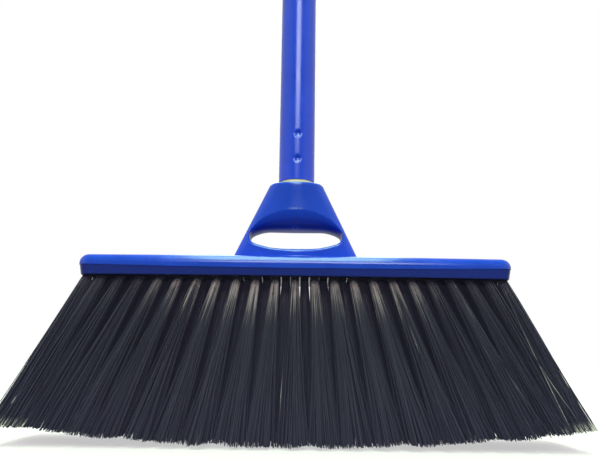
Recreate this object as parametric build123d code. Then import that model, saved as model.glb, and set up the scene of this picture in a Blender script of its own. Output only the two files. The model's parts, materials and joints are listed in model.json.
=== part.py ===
from build123d import *
import os
from math import cos, pi, radians, sin, tan

# An upright broom: a moulded head with fanned tufts, and a steel handle that screws into it.
# Z runs up the handle, X along the block, and the front faces -Y. Sizes are in millimetres.
# The bristle tips stand on Z = 0 and the handle's axis is X = Y = 0.

# Tufts: bundles folded over an anchor, each in its own blind hole in the block
bristle_length = 92.7  # free length of an upright tuft, from the mouth of its hole to its tips
standing_flat = 0.5  # depth of the flat where the lowest tips meet the floor
end_rise = 10.0  # how far the tips of the outermost tufts stand above the floor
tuft_rows = 4
tufts_in_front_row = 23  # every second row has one fewer, set over by half a pitch
tuft_end_margin = 4.6  # from the end of the block to the outermost tufts
tuft_end_gap = 0.75  # of a pitch, between the last two tufts at each end of the front row
tuft_side_margin = 10.25  # from the front or back of the block to the nearest row
end_lean = 26.5  # degrees, lean of the outermost tufts seen from the front
row_lean = 6.0  # degrees, lean of the front and back rows seen from the side
strands_in_tuft = 5  # also the number of sides of a tuft's root and hole
strand_spread = 3.4  # how far the tip of a strand stands further out than its root
strand_tip_share = 0.85  # size of a strand's tip beside its root
hole_diameter = 4.8  # across the corners
hole_depth = 9.0
root_clearance = 0.05  # between the root and its hole, all round and at the floor
root_proud = 2.0  # how far the packed root shows below the block
anchor_height = 1.8
anchor_thickness = 0.6
anchor_clearance = 0.05  # between the anchor and the slot that it lies in

# Block: a rounded shoulder that overhangs a plain skirt
block_length = 248.0
block_depth = 52.0
block_corner_radius = 6.5
block_bow = 3.0  # how far the long sides bow out between their ends
skirt_height = 5.8
skirt_inset = 0.5
skirt_draft = 10.0  # degrees, how far the skirt's sides lean in towards the underside
shoulder_height = 6.5
shoulder_radius = 5.0

# Neck: tapers up from the block to the socket
neck_height = 46.4
neck_base_width = 75.0
neck_base_depth = 31.2
neck_top_width = 30.8
neck_top_depth = 30.0
neck_corner_radius = 5.5
neck_top_radius = 2.0
neck_foot_radius = 1.5

# Finger hole: an arched tunnel between a rounded grip above and a rounded sill below
finger_width = 55.0
finger_height = 24.3  # at the faces of the neck
finger_floor = 4.9  # from the block's top to the floor of the hole at the faces
finger_corner = 5.0
finger_corner_height = 9.0  # of the corners' centres above the floor
grip_radius = 15.5
grip_drop = 11.0  # how far the grip hangs below the top of the arch
sill_radius = 66.0
sill_rise = 2.0  # how far the sill stands above the floor at the faces

# Handle: steel tube in a thin plastic film
handle_diameter = 22.0  # outside the film
handle_length = 1200.0
film_wall = 0.3
tube_wall = 0.5
film_clearance = 0.02
handle_gap = 2.4  # between the block's socket and the end of the tube

# Crimps: punched dents that lock the tube to the threaded tip
crimp_first = 13.0  # from the end of the tube
crimp_spacing = 16.0
crimp_rows = 2
crimp_turn = 5.0  # degrees, how far the front dents are turned towards +X
crimp_depth = 0.9
crimp_ball_radius = 3.2

# Threaded tip and its socket
socket_diameter = 19.0
socket_depth = 20.0
socket_mouth_chamfer = 0.8
thread_clearance = 0.1  # radial
thread_floor_clearance = 0.2
tip_shank_length = 48.0
tip_core_diameter = 12.5
tip_floor = 4.0
tip_chamfer = 1.2
tip_collar_diameter = 20.8
tip_collar_clearance = 0.4  # between the collar and the rim of the socket
tip_clearance = 0.05  # radial, shank in tube

# Hanging cap: a plug that turns in the top of the tube
cap_plug_length = 24.0
cap_plug_wall = 2.5
cap_clearance = 0.05  # radial
cap_seat_clearance = 0.1
cap_collar_diameter = 21.6
cap_collar_height = 9.0
cap_eye_radius = 9.0
cap_eye_height = 27.0  # of the hole's axis above the tube
cap_tongue_thickness = 9.0
cap_scoop_radius = 7.0
hanging_hole_diameter = 8.0

# Heights of the main faces
underside_z = bristle_length - standing_flat
step_z = underside_z + skirt_height
block_top_z = step_z + shoulder_height
neck_top_z = block_top_z + neck_height
socket_floor_z = neck_top_z - socket_depth
tube_end_z = neck_top_z + handle_gap
tube_top_z = tube_end_z + handle_length

# Radii along the handle, from the outside in
film_radius = handle_diameter / 2
tube_radius = film_radius - film_wall - film_clearance
tube_bore_radius = tube_radius - tube_wall
thread_radius = socket_diameter / 2 - thread_clearance
hole_radius = hole_diameter / 2

# Reach of the tuft pattern
outermost_x = block_length / 2 - tuft_end_margin
outermost_y = block_depth / 2 - tuft_side_margin
tuft_pitch = outermost_x / ((tufts_in_front_row - 1) / 2 - 1 + tuft_end_gap)
row_pitch = 2 * outermost_y / (tuft_rows - 1)

same_place = 0.01  # points nearer than this are one point
UP_FROM_BASE = (Align.CENTER, Align.CENTER, Align.MIN)


def tuft_places():
    """The mouths of the holes by column: one list of (x, y) for each file of tufts across the block."""
    columns = [[] for _ in range(tufts_in_front_row)]
    for row in range(tuft_rows):
        y = row * row_pitch - outermost_y
        count = tufts_in_front_row - row % 2
        for number in range(count):
            x = (number - (count - 1) / 2) * tuft_pitch
            columns[number].append((max(-outermost_x, min(outermost_x, x)), y))
    return columns


def tuft_frame(x, y):
    """The frame of one tuft: origin at the mouth of its hole, local Z out along the bristles."""
    front_lean = end_lean * sin(radians(90) * x / outermost_x)
    side_lean = row_lean * y / outermost_y
    along = Vector(tan(radians(front_lean)), tan(radians(side_lean)), -1).normalized()
    at_the_end = abs(x) > outermost_x - same_place
    turned = (y > 0) != at_the_end  # so that the strands of the last two tufts pass each other
    across = (Vector(1, 0, 0) - along * along.X) * (-1 if turned else 1)
    return Plane(origin=(x, y, underside_z), x_dir=across, z_dir=along)


def tuft_length(x, y):
    """The free length of one tuft: trimmed level in the middle and a little higher towards the ends."""
    drop = bristle_length - end_rise * (x / outermost_x) ** 2
    return drop / -tuft_frame(x, y).z_dir.Z


def tuft_corner(radius, number, z):
    """A corner of the many-sided root or hole of a tuft."""
    angle = pi / 2 + 2 * pi * number / strands_in_tuft
    return Vector(radius * cos(angle), radius * sin(angle), z)


def tuft_outline(radius):
    """The cross-section of a tuft's root or hole."""
    return Rot(0, 0, 90) * RegularPolygon(radius, strands_in_tuft)


def flat_sided(low, high):
    """A solid with flat sides between two like outlines."""
    count = len(low)
    rings = [low, high]
    rings += [[low[k], low[(k + 1) % count], high[(k + 1) % count], high[k]] for k in range(count)]
    return Solid(Shell([Face(Wire.make_polygon(ring)) for ring in rings]))


def strand(number, root_radius, length):
    """One three-sided strand: a slice of the root that leans outwards to its tip."""
    low = [
        Vector(0, 0, root_proud),
        tuft_corner(root_radius, number, root_proud),
        tuft_corner(root_radius, number + 1, root_proud),
    ]
    middle = (low[0] + low[1] + low[2]) * (1 / len(low))
    outwards = Vector(middle.X, middle.Y, 0).normalized() * strand_spread
    lift = Vector(0, 0, length - root_proud)
    high = [middle + (corner - middle) * strand_tip_share + outwards + lift for corner in low]
    return flat_sided(low, high)


def make_tuft(length):
    """A tuft along its own Z: the packed root with the anchor's slot, and the strands."""
    root_radius = hole_radius - root_clearance
    root_floor = -hole_depth + root_clearance
    root = extrude(Pos(0, 0, root_floor) * tuft_outline(root_radius), root_proud - root_floor)
    slot_depth = anchor_height + anchor_clearance
    slot = Pos(0, 0, root_floor) * Box(
        hole_diameter, anchor_thickness + 2 * anchor_clearance, slot_depth, align=UP_FROM_BASE
    )
    return root - slot + [strand(k, root_radius, length) for k in range(strands_in_tuft)]


def make_anchor():
    """The flat metal anchor that lies in the fold of a tuft, across the floor of its hole."""
    inscribed_radius = hole_radius * cos(pi / strands_in_tuft)
    length = 2 * (inscribed_radius - anchor_clearance)
    bar = Box(length, anchor_thickness, anchor_height, align=UP_FROM_BASE)
    return Pos(0, 0, -hole_depth + root_clearance) * bar


def stand_flat(tuft):
    """Trim what reaches below the floor, so that the lowest tips end in flats."""
    box = tuft.bounding_box()
    if box.min.Z >= 0:
        return tuft
    below = Box(2 * box.size.X, 2 * box.size.Y, bristle_length, align=(Align.CENTER, Align.CENTER, Align.MAX))
    return tuft - Pos(box.center().X, box.center().Y, 0) * below


def make_hole():
    """The cutter for one tuft hole along its own Z, long enough to clear a slanted mouth."""
    mouth_run = 2 * hole_diameter
    return extrude(Pos(0, 0, -hole_depth) * tuft_outline(hole_radius), hole_depth + mouth_run)


def bow_radius(reach):
    """Radius of the arc that clears the corner centres by reach and is tangent to both corners."""
    corner_x = finger_width / 2 - finger_corner
    return (reach**2 + corner_x**2 - finger_corner**2) / (2 * (reach - finger_corner))


def bow_end(reach):
    """The right-hand end of that arc, measured from the middle between the corner centres."""
    bow = bow_radius(reach)
    share = bow / (bow - finger_corner)
    corner_x = finger_width / 2 - finger_corner
    return corner_x * share, (bow - reach) * (share - 1)


def finger_outline(floor_z):
    """The finger hole from the front: an arch and a floor, tangent to a round corner at each end."""
    corner_z = floor_z + finger_corner_height
    top_z = floor_z + finger_height
    top_x, top_rise = bow_end(top_z - corner_z)
    low_x, low_drop = bow_end(finger_corner_height)
    top_right = (top_x, corner_z + top_rise)
    top_left = (-top_x, corner_z + top_rise)
    low_right = (low_x, corner_z - low_drop)
    low_left = (-low_x, corner_z - low_drop)
    outline = [
        ThreePointArc(top_left, (0, top_z), top_right),
        ThreePointArc(top_right, (finger_width / 2, corner_z), low_right),
        ThreePointArc(low_right, (0, floor_z), low_left),
        ThreePointArc(low_left, (-finger_width / 2, corner_z), top_left),
    ]
    return make_face(outline)


def make_finger_hole():
    """The cutter for the finger hole: the arched tunnel less the rounded grip and sill."""
    floor_z = block_top_z + finger_floor
    tunnel = extrude(Plane.XZ * finger_outline(floor_z), neck_base_depth, both=True)
    grip_z = floor_z + finger_height - grip_drop + grip_radius
    sill_z = floor_z + sill_rise - sill_radius
    grip = Pos(0, 0, grip_z) * Rot(0, 90, 0) * Cylinder(grip_radius, neck_base_width)
    sill = Pos(0, 0, sill_z) * Rot(0, 90, 0) * Cylinder(sill_radius, neck_base_width)
    return tunnel - grip - sill


def neck_profile(base, top):
    """The neck's taper from one side."""
    return make_face(
        Polyline(
            (-base / 2, block_top_z),
            (base / 2, block_top_z),
            (top / 2, neck_top_z),
            (-top / 2, neck_top_z),
            close=True,
        )
    )


def make_neck():
    """The neck: tapered from the front and from the side, with its long edges and rim rounded."""
    front = extrude(Plane.XZ * neck_profile(neck_base_width, neck_top_width), neck_base_depth, both=True)
    side = extrude(Plane.YZ * neck_profile(neck_base_depth, neck_top_depth), neck_base_width, both=True)
    neck = front & side
    long_edges = [edge for edge in neck.edges() if edge.bounding_box().size.Z > neck_height / 2]
    neck = fillet(long_edges, neck_corner_radius)
    return fillet(neck.faces().sort_by(Axis.Z)[-1].edges(), neck_top_radius)


def block_plan(inset):
    """The block's outline from above, a little smaller all round: its long sides bow out."""
    half_length = block_length / 2 - inset
    half_depth = block_depth / 2 - inset
    end_depth = half_depth - block_bow
    front = ThreePointArc((-half_length, -end_depth), (0, -half_depth), (half_length, -end_depth))
    back = ThreePointArc((half_length, end_depth), (0, half_depth), (-half_length, end_depth))
    ends = [Line(front @ 1, back @ 0), Line(back @ 1, front @ 0)]
    plan = make_face([front, ends[0], back, ends[1]])
    return fillet(plan.vertices(), block_corner_radius - inset)


def make_block():
    """The block: a drafted skirt under a rounded shoulder."""
    shoulder = extrude(Pos(0, 0, step_z) * block_plan(0), shoulder_height)
    shoulder = fillet(shoulder.faces().sort_by(Axis.Z)[-1].edges(), shoulder_radius)
    skirt_top = Pos(0, 0, step_z) * block_plan(skirt_inset)
    skirt = extrude(skirt_top, skirt_height, dir=(0, 0, -1), taper=skirt_draft)
    return skirt + shoulder


def make_socket():
    """The cutter for the socket, with a short lead-in at its mouth."""
    bore = Pos(0, 0, socket_floor_z) * Cylinder(socket_diameter / 2, socket_depth, align=UP_FROM_BASE)
    mouth_radius = socket_diameter / 2 + socket_mouth_chamfer
    lead_in = Pos(0, 0, neck_top_z - socket_mouth_chamfer) * Cone(
        socket_diameter / 2, mouth_radius, socket_mouth_chamfer, align=UP_FROM_BASE
    )
    return bore + lead_in


def lies_on(edge, face):
    """Whether an edge is one of the edges of a face."""
    return any((edge.center() - other.center()).length < same_place for other in face.edges())


def make_head():
    """The one-piece head: drilled block, tapered neck, finger hole and socket."""
    neck = make_neck()
    head = make_block() + neck
    base = neck.faces().sort_by(Axis.Z)[0]
    foot = [edge for edge in head.edges() if lies_on(edge, base)]
    head = fillet(foot, neck_foot_radius)
    hole = make_hole()
    holes = [tuft_frame(x, y) * hole for column in tuft_places() for x, y in column]
    return head - make_finger_hole() - make_socket() - holes


def crimp_balls(radius):
    """Balls at the crimps, one above the other on the front of the handle."""
    distance = film_radius - crimp_depth + crimp_ball_radius
    front = Rot(0, 0, crimp_turn - 90)
    heights = [tube_end_z + crimp_first + row * crimp_spacing for row in range(crimp_rows)]
    return [front * Pos(distance, 0, z) * Sphere(radius) for z in heights]


def crimped_tube(outer_radius, inner_radius, outer_ball, inner_ball):
    """A round wall the length of the handle, pressed in at the crimps."""
    outside = Pos(0, 0, tube_end_z) * Cylinder(outer_radius, handle_length, align=UP_FROM_BASE)
    bore = Pos(0, 0, tube_end_z) * Cylinder(inner_radius, handle_length, align=UP_FROM_BASE)
    return (outside - crimp_balls(outer_ball)) - (bore - crimp_balls(inner_ball))


def make_film():
    """The coloured plastic film on the tube."""
    return crimped_tube(
        film_radius, film_radius - film_wall, crimp_ball_radius, crimp_ball_radius + film_wall
    )


def make_tube():
    """The thin steel tube of the handle."""
    outer_ball = crimp_ball_radius + film_wall + film_clearance
    return crimped_tube(tube_radius, tube_bore_radius, outer_ball, outer_ball + tube_wall)


def make_tip():
    """The plastic tip: a cored shank crimped into the tube, a collar and the stub that screws in."""
    shank_radius = tube_bore_radius - tip_clearance
    core_radius = tip_core_diameter / 2
    end_z = socket_floor_z + thread_floor_clearance
    shank_top_z = tube_end_z + tip_shank_length
    collar_radius = tip_collar_diameter / 2
    collar_low_z = neck_top_z + tip_collar_clearance
    collar_top_z = tube_end_z - tip_clearance
    profile = Polyline(
        (0, end_z),
        (thread_radius - tip_chamfer, end_z),
        (thread_radius, end_z + tip_chamfer),
        (thread_radius, collar_low_z),
        (collar_radius, collar_low_z),
        (collar_radius, collar_top_z),
        (shank_radius, collar_top_z),
        (shank_radius, shank_top_z - tip_chamfer),
        (shank_radius - tip_chamfer, shank_top_z),
        (core_radius, shank_top_z),
        (core_radius, end_z + tip_floor),
        (0, end_z + tip_floor),
        close=True,
    )
    tip = revolve(Plane.XZ * make_face(profile), Axis.Z)
    recess = crimp_ball_radius + film_wall + film_clearance + tube_wall + tip_clearance
    return tip - crimp_balls(recess)


def make_cap():
    """The hanging cap: a hollow plug, a collar on the end of the tube and a flat eye."""
    seat_z = tube_top_z + cap_seat_clearance
    eye_z = tube_top_z + cap_eye_height
    top_z = eye_z + cap_eye_radius
    round_bar = Pos(0, 0, seat_z) * Cylinder(cap_collar_diameter / 2, top_z - seat_z, align=UP_FROM_BASE)
    eye = Pos(0, eye_z) * Circle(cap_eye_radius)
    collar = Pos(0, seat_z) * Rectangle(
        cap_collar_diameter, cap_collar_height, align=(Align.CENTER, Align.MIN)
    )
    front = Plane.XZ * make_hull([*eye.edges(), *collar.edges()])
    body = round_bar & extrude(front, cap_collar_diameter, both=True)
    scoop_side = Pos(cap_tongue_thickness / 2, seat_z + cap_collar_height) * Rectangle(
        cap_collar_diameter, top_z - seat_z, align=(Align.MIN, Align.MIN)
    )
    inner_corner = scoop_side.vertices().sort_by(Axis.X)[:2].sort_by(Axis.Y)[0]
    scoop = extrude(Plane.YZ * fillet(inner_corner, cap_scoop_radius), cap_collar_diameter, both=True)
    eye_hole = Pos(0, 0, eye_z) * Rot(90, 0, 0) * Cylinder(hanging_hole_diameter / 2, cap_collar_diameter)
    plug_radius = tube_bore_radius - cap_clearance
    plug_place = Pos(0, 0, seat_z - cap_plug_length)
    plug = plug_place * Cylinder(plug_radius, cap_plug_length, align=UP_FROM_BASE)
    core = plug_place * Cylinder(plug_radius - cap_plug_wall, cap_plug_length, align=UP_FROM_BASE)
    return body - scoop - scoop.mirror(Plane.XZ) - eye_hole + (plug - core)


def save(name, shapes):
    """Write one node's solids to its own STEP file."""
    export_step(Compound(label=name, children=list(shapes)), os.path.join("parts", name + ".step"))


def main():
    os.makedirs("parts", exist_ok=True)
    save("broom_head", [make_head()])
    anchor = make_anchor()
    anchors = []
    for number, column in enumerate(tuft_places(), start=1):
        frames = [tuft_frame(x, y) for x, y in column]
        tufts = [frame * make_tuft(tuft_length(x, y)) for frame, (x, y) in zip(frames, column)]
        save(f"tuft_column_{number:02d}", [stand_flat(tuft) for tuft in tufts])
        anchors += [frame * anchor for frame in frames]
    save("tuft_anchors", anchors)
    save("handle_film", [make_film()])
    save("handle_tube", [make_tube()])
    save("threaded_tip", [make_tip()])
    save("hanging_cap", [make_cap()])


main()
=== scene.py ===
import json
import math
import random

import bmesh
import bpy
from mathutils import Matrix, Vector

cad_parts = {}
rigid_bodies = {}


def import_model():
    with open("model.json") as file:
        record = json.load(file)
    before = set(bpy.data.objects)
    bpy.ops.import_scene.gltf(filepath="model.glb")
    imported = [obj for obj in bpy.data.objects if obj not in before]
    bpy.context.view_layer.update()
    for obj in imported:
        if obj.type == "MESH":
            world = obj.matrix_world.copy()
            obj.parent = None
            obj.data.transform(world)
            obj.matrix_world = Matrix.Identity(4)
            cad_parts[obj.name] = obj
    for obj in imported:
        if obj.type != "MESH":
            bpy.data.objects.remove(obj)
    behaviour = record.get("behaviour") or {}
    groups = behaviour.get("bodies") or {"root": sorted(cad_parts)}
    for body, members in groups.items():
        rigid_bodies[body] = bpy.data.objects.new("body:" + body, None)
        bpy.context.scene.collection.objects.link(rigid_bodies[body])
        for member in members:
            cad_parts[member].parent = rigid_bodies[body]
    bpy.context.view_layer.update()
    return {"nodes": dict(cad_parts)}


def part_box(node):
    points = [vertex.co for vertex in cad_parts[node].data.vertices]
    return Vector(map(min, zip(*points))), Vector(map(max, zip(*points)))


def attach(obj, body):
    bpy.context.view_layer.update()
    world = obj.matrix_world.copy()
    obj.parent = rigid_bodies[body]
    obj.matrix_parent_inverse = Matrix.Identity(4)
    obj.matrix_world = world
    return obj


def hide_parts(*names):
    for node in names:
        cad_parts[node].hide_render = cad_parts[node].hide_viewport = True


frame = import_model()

bl_info = {
    "name": "Screw-handle broom",
    "version": (1, 0, 0),
    "blender": (4, 5, 0),
    "location": "View3D > Sidebar > Broom",
    "description": "Dresses the packed broom: head, bristle tufts, coated handle and studio",
    "category": "Object",
}

MM = 0.001
WHITE = (1.0, 1.0, 1.0, 1.0)

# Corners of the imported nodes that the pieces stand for
HEAD_LOW, HEAD_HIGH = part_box("broom_head")
FILM_LOW, FILM_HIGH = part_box("handle_film")
TIP_LOW, TIP_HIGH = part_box("threaded_tip")
CAP_LOW, CAP_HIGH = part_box("hanging_cap")
TUFT_COLUMNS = sorted(name for name in frame["nodes"] if name.startswith("tuft_column_"))

# Seed of the bristles, and places along a filament as shares of its free length
TUFT_SEED = 4711
FILAMENT_STEPS = (-0.025, 0.03, 0.15, 0.4, 0.7, 1.0)
# Where along half the block, squared, the step has its mean height
STEP_LEVEL = 0.73
# Radius of a plug that fits the tube's bore
PLUG_RADIUS = 10.13 * MM
# Rings in one plane would be bridged the wrong way round, so flat rings have this draft
RING_DRAFT = 0.1 * MM
# Points nearer than this are one point
MERGE = 0.5e-6

# Names of the node groups that materials share
GRAIN, MARKS = "Moulded grain", "Handling marks"

# Light of the room in front, at the sides and behind, and the tints of room, skylight and window
ROOM_FRONT, ROOM_SIDE, ROOM_BACK = 0.25, 0.72, 0.72
ROOM_TINT = (0.97, 0.98, 1.0)
SKY_TINT = (6.1, 9.7, 6.3)
WINDOW_TINT = (7.2, 7.4, 7.7)
SKY_AXIS = (0.0, 0.342, 0.940)

# Camera fitted to the photograph
CAMERA_PLACE = (0.0025, -0.3880, 0.0451)
CAMERA_PITCH, CAMERA_ROLL = math.radians(90 + 11.55), math.radians(0.75)
CAMERA_LENS, CAMERA_SENSOR = 39.0, 36.0


def length(name, default_mm, description):
    """A length property whose default is given in millimetres."""
    return bpy.props.FloatProperty(
        name=name, description=description, default=default_mm * MM, min=0.0, precision=5,
        unit="LENGTH", subtype="DISTANCE",
    )


def angle(name, degrees, description):
    """An angle property whose default is given in degrees."""
    return bpy.props.FloatProperty(
        name=name, description=description, default=math.radians(degrees), subtype="ANGLE"
    )


def share(name, default, description):
    """A property from 0 to 1."""
    return bpy.props.FloatProperty(
        name=name, description=description, default=default, min=0.0, max=1.0, subtype="FACTOR"
    )


def number(name, default, description):
    """A property that counts things."""
    return bpy.props.IntProperty(name=name, description=description, default=default, min=3)


def colour(name, default, description):
    """A linear colour property."""
    return bpy.props.FloatVectorProperty(
        name=name, description=description, default=default, size=3, min=0.0, max=1.0,
        subtype="COLOR",
    )


class BroomHeadSettings(bpy.types.PropertyGroup):
    """Sizes and colours of the moulded head."""

    corner: length("Block corner", 6.5, "Radius of the block's upright corners")
    bow: length("Block bow", 3.0, "How far the block's long sides bow out between their ends")
    shoulder: length("Shoulder", 6.5, "Height of the rounded upper part of the block")
    shoulder_round: length("Shoulder round", 5.0, "Radius along the top of the shoulder")
    skirt: length("Skirt", 5.8, "Height of the plain lower part of the block")
    skirt_inset: length("Skirt inset", 0.3, "How far the skirt stands back under the shoulder")
    step_dip: length("Step dip", 1.5, "How much lower the step is in the middle than at the ends")
    skirt_draft: length("Skirt draft", 1.02, "How much further the skirt's foot stands back")
    neck_base_x: length("Neck base width", 75.0, "Width of the neck where it meets the block")
    neck_base_y: length("Neck base depth", 31.2, "Depth of the neck where it meets the block")
    neck_top_x: length("Neck top width", 30.8, "Width of the neck at its rim")
    neck_top_y: length("Neck top depth", 30.0, "Depth of the neck at its rim")
    neck_corner: length("Neck corner", 5.5, "Radius of the neck's long edges")
    neck_crown: length("Neck crown", 2.0, "How far the neck's faces fall away at the rim")
    neck_base_crown: length("Neck base crown", 0.8, "How far they fall away at the block")
    neck_ridge: length("Neck ridge", 3.0, "Reach of the rounded ridge up the middle of the faces")
    neck_lean: share("Neck lean", 0.14, "Slope of the faces away from that ridge")
    rim_round: length("Rim round", 2.0, "Radius of the neck's rim")
    foot_round: length("Foot round", 1.5, "Radius where the neck meets the block")
    socket_radius: length("Socket radius", 9.5, "Radius of the socket for the handle")
    socket_depth: length("Socket depth", 20.0, "Depth of that socket")
    finger_width: length("Finger hole width", 55.0, "Width of the finger hole")
    finger_height: length("Finger hole height", 24.3, "Height of the finger hole at the faces")
    finger_floor: length("Finger hole floor", 4.9, "Height of the finger hole above the block")
    finger_corner: length("Finger hole corner", 5.0, "Radius of the finger hole's ends")
    finger_corner_height: length("Corner height", 9.0, "Height of those ends above the floor")
    grip_radius: length("Grip radius", 15.5, "Radius of the rounded grip above the hole")
    grip_drop: length("Grip drop", 11.0, "How far the grip hangs below the arch")
    sill_radius: length("Sill radius", 66.0, "Radius of the rounded sill below the hole")
    sill_rise: length("Sill rise", 2.0, "How far the sill stands above the floor")
    lip_round: length("Lip round", 1.9, "Radius of the finger hole's edges")
    # The skirt's colour is a painted shade under the shoulder
    skirt_shade_tone: colour("Skirt", (0.018, 0.038, 0.31), "Colour of the grimed skirt")
    plastic: colour("Head plastic", (0.007, 0.069, 0.67), "Colour of the moulding")
    # A painted shade inside the finger hole, darker and greyer than the moulding
    hole_shade_tone: colour("Finger hole", (0.026, 0.048, 0.34), "Colour inside the finger hole")
    # Colour of the moulding mark under the grip, and of a painted glint on the arch
    mark_and_glint_tone: colour("Rubbed edge", (0.17, 0.24, 0.74), "Colour where the moulding is rubbed")


class BroomTuftSettings(bpy.types.PropertyGroup):
    """Sizes and colours of the bristles."""

    rows: number("Rows", 4, "Rows of tufts")
    in_row: number("Tufts in a row", 23, "Tufts in the first row")
    filaments: number("Filaments", 130, "Filaments in a tuft")
    end_margin: length("End margin", 4.6, "From the end of the block to the outermost tufts")
    end_gap: share("End gap", 0.75, "Share of a pitch between the last two tufts of the front row")
    side_margin: length("Side margin", 10.25, "From the front of the block to the first row")
    hole_radius: length("Hole radius", 2.4, "Radius of a tuft's hole")
    hole_depth: length("Hole depth", 9.0, "Depth of a tuft's hole")
    bristle: length("Bristle length", 92.7, "Free length of an upright bristle")
    end_rise: length("End rise", 10.0, "How far the outermost tips stand above the floor")
    thickness: length("Filament radius", 0.24, "Radius of a filament")
    spread: length("Spread", 8.8, "Radius of a tuft at its tips")
    end_lean: angle("End lean", 26.5, "Lean of the outermost tufts")
    row_lean: angle("Row lean", 6, "Lean of the front and back rows")
    strays: share("Strays", 0.004, "Share of pale filaments that stand away from their tuft")
    charcoal: colour("Filament", (0.0268, 0.0260, 0.0445), "Colour of the bristles")
    # A painted sheen where the bristles leave the block
    painted_sheen: colour("Root dust", (0.66, 0.55, 0.50), "Colour where the bristles leave the block")
    frayed: colour("Frayed tips", (0.78, 0.72, 0.64), "Colour of split tips")


class BroomHandleSettings(bpy.types.PropertyGroup):
    """Sizes and colours of the handle, its tip and its cap."""

    radius: length("Handle radius", 11.0, "Radius outside the film")
    film: length("Film", 0.3, "Thickness of the film")
    dent_first: length("First dent", 13.0, "From the end of the tube to the first dent")
    dent_spacing: length("Dent spacing", 16.0, "From dent to dent")
    dent_radius: length("Dent radius", 2.9, "Radius of a dent at the surface")
    dent_depth: length("Dent depth", 0.9, "Depth of a dent")
    dent_turn: angle("Dent turn", 3, "How far the dents are turned from the front")
    collar: length("Collar radius", 10.4, "Radius of the tip's collar below the tube")
    collar_gap: length("Collar gap", 0.4, "Between the collar and the rim of the socket")
    thread_crest: length("Thread crest", 9.3, "Radius of the thread's crest")
    thread_root: length("Thread root", 8.2, "Radius of the thread's root")
    thread_lead: length("Thread lead", 5.0, "Lead of the thread")
    film_blue: colour("Film", (0.004, 0.070, 0.84), "Colour of the film")
    steel: colour("Steel", (0.56, 0.56, 0.58), "Colour of the bare steel")
    yellow: colour("Tip", (0.95, 0.95, 0.50), "Colour of the threaded tip")
    cap_blue: colour("Cap", (0.010, 0.068, 0.62), "Colour of the hanging cap")


def settings():
    """The three groups of settings of the current scene."""
    scene = bpy.context.scene
    return scene.broom_head, scene.broom_tufts, scene.broom_handle


def block_top():
    """Height of the block's flat top."""
    head = settings()[0]
    return HEAD_LOW.z + head.skirt + head.shoulder


def finger_floor_z():
    """Height of the finger hole's floor."""
    return block_top() + settings()[0].finger_floor


def outermost_tuft():
    """How far from the middle the outermost tuft holes are, along the block and across it."""
    tufts = settings()[1]
    return HEAD_HIGH.x - tufts.end_margin, HEAD_HIGH.y - tufts.side_margin


def unit(value):
    """A value kept between 0 and 1."""
    return max(0.0, min(1.0, value))


def soft_min(a, b, width):
    """The smaller of two values, with the change from one to the other rounded off."""
    part = unit(0.5 + (b - a) / (2 * width))
    return b + (a - b) * part - width * part * (1 - part)


def spaced(start, end, count):
    """Evenly spaced values after a start, up to an end."""
    return [start + (end - start) * step / count for step in range(1, count + 1)]


# Meshes


def add_object(name, data):
    """A new object in the scene."""
    made = bpy.data.objects.new(name, data)
    bpy.context.scene.collection.objects.link(made)
    return made


def finish_piece(name, mesh, body, material, node, sharp):
    """Add a mesh as a piece that rides on a body, has a finish slot and replaces a node.

    Edges sharper than an angle in degrees aren't shaded smooth.
    """
    mesh.materials.clear()
    mesh.materials.append(material)
    mesh.shade_smooth()
    mesh.set_sharp_from_angle(angle=math.radians(sharp))
    piece = add_object(name, mesh)
    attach(piece, body)
    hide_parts(node)
    return piece


def weigh_normals(piece):
    """Let the large faces of a piece decide the shading of its rounded edges."""
    weighted = piece.modifiers.new("Weighted normals", "WEIGHTED_NORMAL")
    weighted.keep_sharp = True
    weighted.weight = 60


def to_mesh(bm, name):
    """A new mesh from a closed bmesh, with its faces turned outwards."""
    bmesh.ops.remove_doubles(bm, verts=bm.verts, dist=MERGE)
    bmesh.ops.recalc_face_normals(bm, faces=bm.faces)
    if bm.calc_volume(signed=True) < 0:
        bmesh.ops.reverse_faces(bm, faces=bm.faces)
    mesh = bpy.data.meshes.new(name)
    bm.to_mesh(mesh)
    bm.free()
    return mesh


def applied(holder):
    """The final shape of an object as a new mesh. The object and its data are removed."""
    graph = bpy.context.evaluated_depsgraph_get()
    mesh = bpy.data.meshes.new_from_object(holder.evaluated_get(graph))
    bpy.data.batch_remove([holder, holder.data])
    return mesh


def carve(mesh, name, steps):
    """Join a mesh with other meshes, or cut it with them, in turn. The result is a new mesh."""
    base = add_object(name, mesh)
    tools = []
    for operation, tool_mesh in steps:
        tools.append(add_object(name + "_tool", tool_mesh))
        modifier = base.modifiers.new(operation, "BOOLEAN")
        modifier.operation = operation
        modifier.solver = "EXACT"
        modifier.object = tools[-1]
    result = applied(base)
    for tool in tools:
        bpy.data.batch_remove([tool, tool.data])
    clean_cuts(result)
    return result


def clean_cuts(mesh):
    """Take out the tiny edges and the points in the middle of an edge that a cut leaves behind."""
    bm = bmesh.new()
    bm.from_mesh(mesh)
    bmesh.ops.dissolve_degenerate(bm, edges=bm.edges, dist=4 * MERGE)
    bmesh.ops.dissolve_verts(bm, verts=[vert for vert in bm.verts if len(vert.link_edges) == 2])
    bm.to_mesh(mesh)
    bm.free()


def add_ring(bm, points):
    """A closed ring of edges through the given points, in order."""
    circle = bmesh.ops.create_circle(bm, segments=len(points))["verts"]
    for vert, point in zip(circle, points):
        vert.co = point
    return list(dict.fromkeys(edge for vert in circle for edge in vert.link_edges))


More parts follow.
